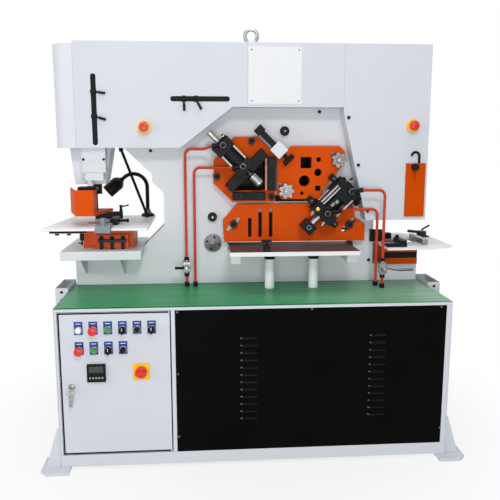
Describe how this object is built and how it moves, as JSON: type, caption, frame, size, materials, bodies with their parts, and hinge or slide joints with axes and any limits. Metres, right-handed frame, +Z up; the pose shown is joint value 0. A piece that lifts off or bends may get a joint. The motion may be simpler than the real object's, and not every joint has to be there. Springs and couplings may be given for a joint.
{
  "type": "hydraulic ironworker machine",
  "caption": "Floor-standing hydraulic ironworker with a punch, angle, section and flat shears and a notcher on a white plate frame over a control cabinet.",
  "frame": {"origin": "on the floor, at the centre of the rectangle of four anchor holes", "axes": "+Z up, +X to the right as seen from the front, +Y to the back, so the front faces -Y"},
  "size_m": [1.82, 0.9, 1.8152],
  "materials": {
    "white_paint": "semi-gloss enamel",
    "black_paint": "satin enamel",
    "orange_paint": "semi-gloss enamel",
    "pipe_red": "gloss enamel",
    "mat_green": "glossy ribbed rubber",
    "machined_steel": "machined",
    "black_steel": "black oxide",
    "chrome": "ground and plated",
    "alloy": "cast and tumbled",
    "red_plastic": "moulded",
    "green_plastic": "moulded",
    "black_plastic": "moulded",
    "unit_filler": "painted",
    "rubber_black": "smooth"
  },
  "bodies": {
    "frame": {"base_cabinet": "white_paint", "bench_mat": "mat_green", "louvre_panel": "black_paint", "main_frame": "white_paint", "left_cover": "white_paint", "middle_cover": "white_paint", "right_cover": "white_paint", "cylinder_shroud": "white_paint", "main_cylinders": "black_paint", "punch_bed": "machined_steel", "die_block": "orange_paint", "punch_table": "white_paint", "angle_plate": "orange_paint", "blade_holders": "black_steel", "clamp_cylinders": "black_steel", "oil_pipes": "pipe_red", "feed_table": "white_paint", "support_posts": "white_paint", "notch_bed": "orange_paint", "notch_table": "white_paint", "fasteners": "black_steel", "hydraulic_unit": "unit_filler", "electrical_plate": "unit_filler", "lamp_cable": "rubber_black"},
    "punch_ram": {"punch_ram": "black_steel"},
    "shear_beam": {"shear_beam": "black_steel"},
    "shear_rod": {"shear_rod": "chrome"},
    "angle_clamp_rod": {"angle_clamp_rod": "chrome"},
    "flat_hold_down": {"flat_plate": "orange_paint", "flat_clamp_rod": "chrome"},
    "section_plate": {"section_plate": "orange_paint"},
    "star_knob_low": {"star_knob_low": "alloy"},
    "star_knob_high": {"star_knob_high": "alloy"},
    "door": {"door": "white_paint"},
    "stop_button_1": {"stop_button_1": "red_plastic"},
    "stop_button_2": {"stop_button_2": "red_plastic"},
    "green_button_1": {"green_button_1": "green_plastic"},
    "green_button_2": {"green_button_2": "green_plastic"},
    "black_button_1": {"black_button_1": "black_plastic"},
    "black_button_2": {"black_button_2": "black_plastic"},
    "selector_1": {"selector_1": "black_plastic"},
    "selector_2": {"selector_2": "black_plastic"},
    "selector_3": {"selector_3": "black_plastic"},
    "main_switch": {"main_switch": "red_plastic"},
    "door_key": {"door_key": "chrome"},
    "estop_left": {"estop_left": "red_plastic"},
    "estop_right": {"estop_right": "red_plastic"},
    "punch_stop_upper": {"punch_stop_upper": "black_steel"},
    "punch_stop_lower": {"punch_stop_lower": "black_steel"},
    "shear_stop_left": {"shear_stop_left": "black_steel"},
    "shear_stop_right": {"shear_stop_right": "black_steel"},
    "notch_guard": {"notch_guard": "orange_paint"},
    "stripper_guard": {"stripper_guard": "orange_paint"},
    "angle_rest_bar": {"angle_rest_bar": "black_steel"},
    "valve_lever_left": {"valve_lever_left": "pipe_red"},
    "valve_lever_right": {"valve_lever_right": "pipe_red"},
    "punch_fence": {"punch_fence": "machined_steel"},
    "feed_stop": {"feed_stop": "black_steel"},
    "notch_fence": {"notch_fence": "black_steel"},
    "work_lamp": {"work_lamp": "black_plastic"}
  },
  "joints": [
    {"name": "punch_stroke", "type": "slide", "parent": "frame", "child": "punch_ram", "axis": [0, 0, -1], "range_m": [0, 0.07]},
    {"name": "beam_swing", "type": "hinge", "parent": "frame", "child": "shear_beam", "pos_m": [-0.168, 0.095, 0.863], "axis": [0, 1, 0], "range_deg": [0, 5]},
    {"name": "rod_stroke", "type": "slide", "parent": "frame", "child": "shear_rod", "axis": [0, 0, -1], "range_m": [0, 0.067]},
    {"name": "angle_clamp", "type": "slide", "parent": "frame", "child": "angle_clamp_rod", "axis": [0.7071, 0, -0.7071], "range_m": [-0.045, 0.008]},
    {"name": "flat_hold_down", "type": "slide", "parent": "frame", "child": "flat_hold_down", "axis": [0.7071, 0, 0.7071], "range_m": [-0.01, 0.012]},
    {"name": "section_adjust", "type": "slide", "parent": "frame", "child": "section_plate", "axis": [0.7071, 0, -0.7071], "range_m": [0, 0.01]},
    {"name": "star_knob_low_turn", "type": "hinge", "parent": "frame", "child": "star_knob_low", "pos_m": [0.16109, -0.026, 1.09889], "axis": [0, 1, 0], "continuous": true},
    {"name": "star_knob_high_turn", "type": "hinge", "parent": "frame", "child": "star_knob_high", "pos_m": [0.39609, -0.026, 1.2359], "axis": [0, 1, 0], "continuous": true},
    {"name": "door_swing", "type": "hinge", "parent": "frame", "child": "door", "pos_m": [-0.357, -0.392, 0.36], "axis": [0, 0, 1], "range_deg": [0, 105]},
    {"name": "stop_button_1_press", "type": "slide", "parent": "door", "child": "stop_button_1", "axis": [0, 1, 0], "range_m": [0, 0.006], "stiffness_N_per_m": 900, "springref_m": -0.002},
    {"name": "stop_button_2_press", "type": "slide", "parent": "door", "child": "stop_button_2", "axis": [0, 1, 0], "range_m": [0, 0.006], "stiffness_N_per_m": 900, "springref_m": -0.002},
    {"name": "green_button_1_press", "type": "slide", "parent": "door", "child": "green_button_1", "axis": [0, 1, 0], "range_m": [0, 0.005], "stiffness_N_per_m": 900, "springref_m": -0.002},
    {"name": "green_button_2_press", "type": "slide", "parent": "door", "child": "green_button_2", "axis": [0, 1, 0], "range_m": [0, 0.005], "stiffness_N_per_m": 900, "springref_m": -0.002},
    {"name": "black_button_1_press", "type": "slide", "parent": "door", "child": "black_button_1", "axis": [0, 1, 0], "range_m": [0, 0.005], "stiffness_N_per_m": 900, "springref_m": -0.002},
    {"name": "black_button_2_press", "type": "slide", "parent": "door", "child": "black_button_2", "axis": [0, 1, 0], "range_m": [0, 0.005], "stiffness_N_per_m": 900, "springref_m": -0.002},
    {"name": "selector_1_turn", "type": "hinge", "parent": "door", "child": "selector_1", "pos_m": [-0.534, -0.4, 0.587], "axis": [0, 1, 0], "range_deg": [-45, 45]},
    {"name": "selector_2_turn", "type": "hinge", "parent": "door", "child": "selector_2", "pos_m": [-0.42, -0.4, 0.587], "axis": [0, 1, 0], "range_deg": [-45, 45]},
    {"name": "selector_3_turn", "type": "hinge", "parent": "door", "child": "selector_3", "pos_m": [-0.591, -0.4, 0.505], "axis": [0, 1, 0], "range_deg": [-45, 45]},
    {"name": "main_switch_turn", "type": "hinge", "parent": "door", "child": "main_switch", "pos_m": [-0.465, -0.4, 0.412], "axis": [0, 1, 0], "range_deg": [0, 90]},
    {"name": "door_key_turn", "type": "hinge", "parent": "door", "child": "door_key", "pos_m": [-0.741, -0.4, 0.353], "axis": [0, 1, 0], "range_deg": [0, 90]},
    {"name": "estop_left_press", "type": "slide", "parent": "frame", "child": "estop_left", "axis": [0, 1, 0], "range_m": [0, 0.005], "stiffness_N_per_m": 900, "springref_m": -0.002},
    {"name": "estop_right_press", "type": "slide", "parent": "frame", "child": "estop_right", "axis": [0, 1, 0], "range_m": [0, 0.005], "stiffness_N_per_m": 900, "springref_m": -0.002},
    {"name": "punch_stop_upper_set", "type": "slide", "parent": "frame", "child": "punch_stop_upper", "axis": [0, 0, 1], "range_m": [-0.035, 0.05]},
    {"name": "punch_stop_lower_set", "type": "slide", "parent": "frame", "child": "punch_stop_lower", "axis": [0, 0, 1], "range_m": [-0.08, 0.03]},
    {"name": "shear_stop_left_set", "type": "slide", "parent": "frame", "child": "shear_stop_left", "axis": [1, 0, 0], "range_m": [-0.03, 0.008]},
    {"name": "shear_stop_right_set", "type": "slide", "parent": "frame", "child": "shear_stop_right", "axis": [1, 0, 0], "range_m": [-0.008, 0.12]},
    {"name": "notch_guard_lift", "type": "slide", "parent": "frame", "child": "notch_guard", "axis": [0, 0, 1], "range_m": [0, 0.06]},
    {"name": "stripper_set", "type": "slide", "parent": "frame", "child": "stripper_guard", "axis": [0, 0, 1], "range_m": [-0.03, 0]},
    {"name": "angle_rest_set", "type": "slide", "parent": "frame", "child": "angle_rest_bar", "axis": [0.7071, 0, -0.7071], "range_m": [-0.015, 0.04]},
    {"name": "valve_lever_left_turn", "type": "hinge", "parent": "frame", "child": "valve_lever_left", "pos_m": [-0.287, -0.06, 0.765], "axis": [0, 1, 0], "range_deg": [0, 90]},
    {"name": "valve_lever_right_turn", "type": "hinge", "parent": "frame", "child": "valve_lever_right", "pos_m": [0.579, -0.16, 0.765], "axis": [0, -1, 0], "range_deg": [0, 90]},
    {"name": "punch_fence_set", "type": "slide", "parent": "frame", "child": "punch_fence", "axis": [1, 0, 0], "range_m": [-0.015, 0.1]},
    {"name": "feed_stop_set", "type": "slide", "parent": "frame", "child": "feed_stop", "axis": [1, 0, 0], "range_m": [-0.1, 0.3]},
    {"name": "notch_fence_set", "type": "slide", "parent": "frame", "child": "notch_fence", "axis": [1, 0, 0], "range_m": [0, 0.06]},
    {"name": "lamp_swivel", "type": "hinge", "parent": "frame", "child": "work_lamp", "pos_m": [-0.486, 0.343, 0.96], "axis": [0, 0, 1], "range_deg": [-70, 10]}
  ],
  "couplings": [
    {"joint": "rod_stroke", "follows": "beam_swing", "m_per_rad": 0.76203}
  ]
}
